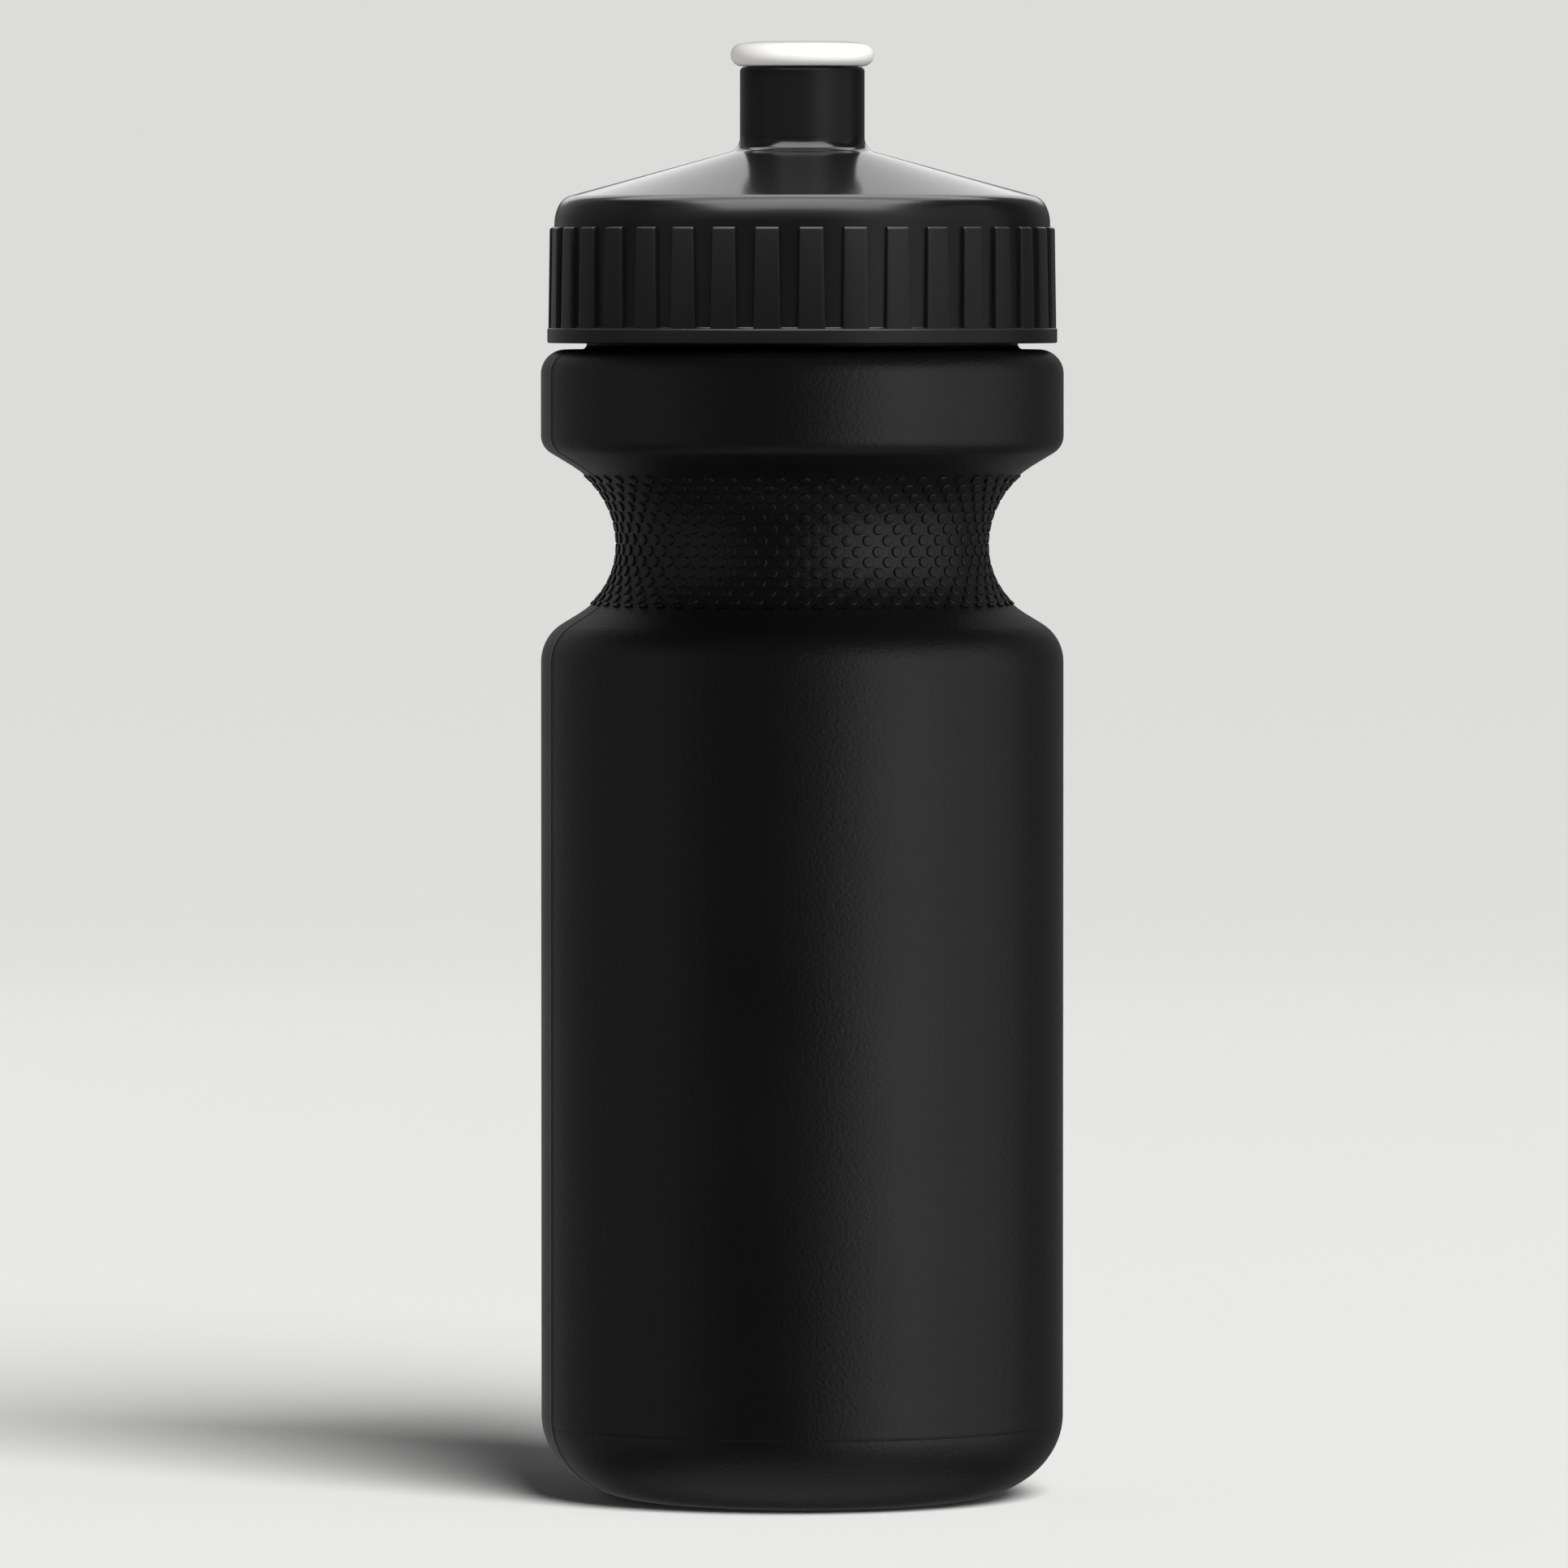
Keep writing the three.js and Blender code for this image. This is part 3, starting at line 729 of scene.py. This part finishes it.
def satin_and_painted_rib_light(tree, shader):
    """The skirt and the chimney are satin for grip, and hands have dulled the proud faces of the ribs
    and the flange. These proud faces are also painted a lighter grey, a painted highlight for the
    light they catch while the recesses between the ribs stay in shade."""
    place = tree.nodes.new("ShaderNodeTexCoord")
    axes = tree.nodes.new("ShaderNodeSeparateXYZ")
    on_skirt = spread(tree, 0, 0.2, cone_edge + 0.5 * mm, shoulder_foot + 1 * mm)
    on_chimney = spread(tree, 0, 0.26, chimney_foot + 0.5 * mm, chimney_foot + 2 * mm)
    satin = operate(tree, "Math", "ADD")
    across = operate(tree, "VectorMath", "MULTIPLY")
    across.inputs[1].default_value = (1, 1, 0)
    radius = operate(tree, "VectorMath", "LENGTH")
    # This mask finds the proud faces. It drives both their real wear (more roughness) and their
    # painted highlight (a lighter grey).
    proud_wear_and_light = spread(tree, 0, 1, skirt_radius + 0.3 * mm, skirt_radius + 0.55 * mm)
    link_nodes(tree, (place, "Object", axes, 0), (axes, "Z", on_skirt, "Value"),
               (axes, "Z", on_chimney, "Value"), (on_skirt, 0, satin, 0), (on_chimney, 0, satin, 1),
               (place, "Object", across, 0), (across, 0, radius, 0),
               (radius, "Value", proud_wear_and_light, "Value"))
    worn = operate(tree, "Math", "MULTIPLY_ADD")
    worn.inputs[1].default_value = 0.05
    rougher = operate(tree, "Math", "ADD")
    rougher.use_clamp = True
    skin_rough = shader.inputs["Roughness"].links[0].from_node
    link_nodes(tree, (proud_wear_and_light, 0, worn, 0), (satin, 0, worn, 2), (worn, 0, rougher, 0),
               (skin_rough, 0, rougher, 1), (rougher, 0, shader, "Roughness"))
    color_a, color_b, color_mixed = 6, 7, 2  # the colour sockets of a Mix node
    # The lighter grey on the proud faces is painted light: it stands in for the light they catch, not
    # a real change in the plastic's colour.
    painted_rib_light = tree.nodes.new("ShaderNodeMix")
    painted_rib_light.data_type = "RGBA"
    painted_rib_light.inputs[color_b].default_value = (0.0034, 0.0034, 0.0036, 1)
    skin = shader.inputs["Base Color"].links[0].from_node
    link_nodes(tree, (proud_wear_and_light, 0, painted_rib_light, 0), (skin, "Color", painted_rib_light, color_a),
               (painted_rib_light, color_mixed, shader, "Base Color"))


black_lid, lid_shader = plastic("black_polypropylene", (0.0022, 0.0022, 0.0023, 1), roughness=0.14,
                                drift=0.025, mottle=0.15, grain_scale=900,
                                grain_depth=0.003 * mm, scuffs=0.12)
lid_shader.inputs["Specular IOR Level"].default_value = 0.2
satin_and_painted_rib_light(black_lid.node_tree, lid_shader)

bm = bmesh.new()
lid_shell(bm)
lid_ribs(bm)
pin_and_spokes(bm)
for start in (0, math.pi):
    sweep_thread(bm, skirt_inside, -1, lid_thread_foot, lid_thread_turns, start)
bmesh.ops.recalc_face_normals(bm, faces=bm.faces)
ribbed_lid = finish_piece(bm, "ribbed_lid", black_lid, "lid", "screw_lid", crease=38)
lid_only.objects.link(ribbed_lid)

# ------------------------------------------------------------------------------------------------
# The push-pull spout. It is a small white moulding whose stem slides in the chimney, with a bead at
# its foot that snaps under the chimney's catch, and a rolled lip for the teeth. Its mouth closes on
# the pin.

lip_radius = valve_high.x
lip_bottom = chimney_top + 0.1 * mm
lip_height = valve_high.z - lip_bottom
stem_radius = catch_radius - 0.3 * mm
bead_radius = chimney_bore - 0.3 * mm
valve_bore = stem_radius - 1.2 * mm
mouth_radius = pin_radius + 0.3 * mm
mouth_foot = valve_high.z - 2.6 * mm
lip_dish = 0.25 * mm
lip_middle = lip_bottom + (lip_height - lip_dish) / 2
lip_roll = (1.55 * mm, (lip_height - lip_dish) / 2)

white_valve, valve_shader = plastic("white_polyethylene", (0.74, 0.735, 0.71, 1), roughness=0.34,
                                    drift=0.05, mottle=0.03, grain_scale=1200,
                                    grain_depth=0.006 * mm, scuffs=0.15)
valve_shader.inputs["Subsurface Weight"].default_value = 0.25
valve_shader.inputs["Subsurface Radius"].default_value = (1.0 * mm, 1.0 * mm, 0.9 * mm)
valve_shader.inputs["Subsurface Scale"].default_value = 1

bm = bmesh.new()
turned(bm, rounded([
    (valve_bore, valve_low.z, 0.3 * mm),
    (bead_radius - 0.5 * mm, valve_low.z, 0.2 * mm),
    (bead_radius, valve_low.z + 0.8 * mm, 0.3 * mm),
    (bead_radius, valve_low.z + 1.45 * mm, 0.2 * mm),
    (stem_radius, valve_low.z + 2 * mm, 0.2 * mm),
    (stem_radius, lip_bottom, 0.25 * mm),
    *arc((lip_radius - lip_roll[0], lip_middle), lip_roll, -90, 90, 20),
    (0.5 * (lip_radius + mouth_radius), valve_high.z, 2 * mm),
    (mouth_radius, valve_high.z - lip_dish, 0.3 * mm),
    (mouth_radius, mouth_foot, 0.15 * mm),
    (valve_bore, mouth_foot, 0.5 * mm),
]), 96, closed=True)
bmesh.ops.recalc_face_normals(bm, faces=bm.faces)
white_spout = finish_piece(bm, "white_spout", white_valve, "valve", "push_pull_valve")
spout_only.objects.link(white_spout)
